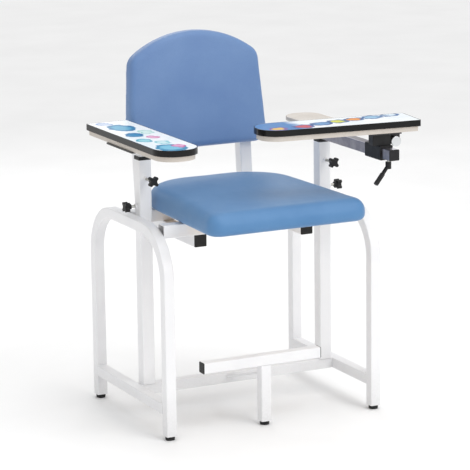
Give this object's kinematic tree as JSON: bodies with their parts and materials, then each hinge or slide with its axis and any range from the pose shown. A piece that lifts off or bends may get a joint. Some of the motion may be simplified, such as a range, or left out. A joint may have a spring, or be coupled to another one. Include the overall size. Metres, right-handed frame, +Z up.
{
  "type": "blood drawing chair",
  "caption": "Extra-tall patient chair for drawing blood: square-tube frame, padded seat and back, fixed-side arm board, flip-up arm board on a sliding boom, footrest.",
  "frame": {"origin": "on the floor under the middle of the overall bounding box", "axes": "+Z up, the sitter faces -Y, +X towards the side with the flip-up arm"},
  "size_m": [0.8048, 0.7132, 1.1067],
  "materials": {
    "white_enamel": "white powder coat, satin",
    "black_enamel": "black powder coat, satin",
    "grey_steel": "zinc-plated tube",
    "zinc": "zinc plate",
    "chrome": "polished",
    "black_plastic": "moulded, fine texture",
    "black_edging": "glossy edge moulding",
    "blue_vinyl": "smooth upholstery vinyl, soft sheen",
    "plywood": "bare plywood",
    "fibreboard": "bare fibreboard",
    "almond_backing": "almond backing sheet",
    "printed_laminate": "printed decorative laminate"
  },
  "bodies": {
    "frame": {"left_arch": "white_enamel", "right_arch": "white_enamel", "left_side_rail": "white_enamel", "right_side_rail": "white_enamel", "lower_cross_rail": "white_enamel", "left_post": "white_enamel", "right_post": "white_enamel", "clamp_nuts": "white_enamel", "post_bushings": "black_plastic", "leg_plugs": "black_plastic", "footrest_bar": "white_enamel", "footrest_end_caps": "black_plastic", "footrest_leg": "white_enamel", "footrest_brace": "white_enamel", "left_seat_tube": "white_enamel", "right_seat_tube": "white_enamel", "seat_tube_caps": "black_plastic", "front_cross_tube": "white_enamel", "rear_cross_tube": "white_enamel", "seat_board": "plywood", "seat_pad": "blue_vinyl", "seat_screws": "zinc", "back_pad": "blue_vinyl", "back_board": "plywood", "back_bolts": "zinc"},
    "left_front_foot": {"left_front_foot": "black_plastic"},
    "left_rear_foot": {"left_rear_foot": "black_plastic"},
    "right_front_foot": {"right_front_foot": "black_plastic"},
    "right_rear_foot": {"right_rear_foot": "black_plastic"},
    "footrest_foot": {"footrest_foot": "black_plastic"},
    "left_arm": {"left_inner_tube": "white_enamel", "left_arm_plate": "black_enamel", "left_arm_base": "almond_backing", "left_board_core": "fibreboard", "left_board_laminate": "printed_laminate", "left_board_edging": "black_edging", "left_arm_screws": "zinc"},
    "right_arm": {"right_inner_tube": "white_enamel", "boom": "grey_steel", "boom_end_caps": "black_plastic", "rear_arm_rest": "almond_backing"},
    "slider": {"slider_sleeve": "black_plastic", "hinge_block": "black_plastic"},
    "clamp_lever": {"clamp_lever": "black_plastic", "clamp_lever_stud": "zinc"},
    "flip_arm": {"flip_hinge_leaf": "black_enamel", "flip_arm_base": "almond_backing", "flip_board_core": "fibreboard", "flip_board_laminate": "printed_laminate", "flip_board_edging": "black_edging", "flip_board_screws": "zinc", "hinge_pin": "chrome"},
    "left_upper_knob": {"left_upper_knob": "black_plastic", "left_upper_knob_stud": "zinc"},
    "left_lower_knob": {"left_lower_knob": "black_plastic", "left_lower_knob_stud": "zinc"},
    "right_upper_knob": {"right_upper_knob": "black_plastic", "right_upper_knob_stud": "zinc"},
    "right_lower_knob": {"right_lower_knob": "black_plastic", "right_lower_knob_stud": "zinc"}
  },
  "joints": [
    {"name": "left_front_foot_screw", "type": "slide", "parent": "frame", "child": "left_front_foot", "axis": [0, 0, 1], "range_m": [-0.008, 0]},
    {"name": "left_rear_foot_screw", "type": "slide", "parent": "frame", "child": "left_rear_foot", "axis": [0, 0, 1], "range_m": [-0.008, 0]},
    {"name": "right_front_foot_screw", "type": "slide", "parent": "frame", "child": "right_front_foot", "axis": [0, 0, 1], "range_m": [-0.008, 0]},
    {"name": "right_rear_foot_screw", "type": "slide", "parent": "frame", "child": "right_rear_foot", "axis": [0, 0, 1], "range_m": [-0.008, 0]},
    {"name": "footrest_foot_screw", "type": "slide", "parent": "frame", "child": "footrest_foot", "axis": [0, 0, 1], "range_m": [-0.008, 0]},
    {"name": "left_upper_knob_turn", "type": "hinge", "parent": "frame", "child": "left_upper_knob", "pos_m": [-0.3004, 0.06039, 0.72], "axis": [0, -1, 0], "range_deg": [0, 180]},
    {"name": "left_lower_knob_turn", "type": "hinge", "parent": "frame", "child": "left_lower_knob", "pos_m": [-0.31945, 0.07944, 0.638], "axis": [-1, 0, 0], "range_deg": [0, 180]},
    {"name": "right_upper_knob_turn", "type": "hinge", "parent": "frame", "child": "right_upper_knob", "pos_m": [0.2876, 0.06039, 0.72], "axis": [0, -1, 0], "range_deg": [0, 180]},
    {"name": "right_lower_knob_turn", "type": "hinge", "parent": "frame", "child": "right_lower_knob", "pos_m": [0.30665, 0.07944, 0.638], "axis": [1, 0, 0], "range_deg": [0, 180]},
    {"name": "left_arm_height", "type": "slide", "parent": "frame", "child": "left_arm", "axis": [0, 0, 1], "range_m": [-0.0387, 0.1393]},
    {"name": "right_arm_height", "type": "slide", "parent": "frame", "child": "right_arm", "axis": [0, 0, 1], "range_m": [0, 0.178]},
    {"name": "slider_along_boom", "type": "slide", "parent": "right_arm", "child": "slider", "axis": [0, 1, 0], "range_m": [-0.038, 0.225]},
    {"name": "clamp_lever_turn", "type": "hinge", "parent": "slider", "child": "clamp_lever", "pos_m": [0.2996, -0.30056, 0.7795], "axis": [0, 0, 1], "range_deg": [-60, 60]},
    {"name": "flip_hinge", "type": "hinge", "parent": "slider", "child": "flip_arm", "pos_m": [0.3234, -0.28883, 0.82985], "axis": [0.1045, 0.9945, 0], "range_deg": [0, 100]}
  ]
}
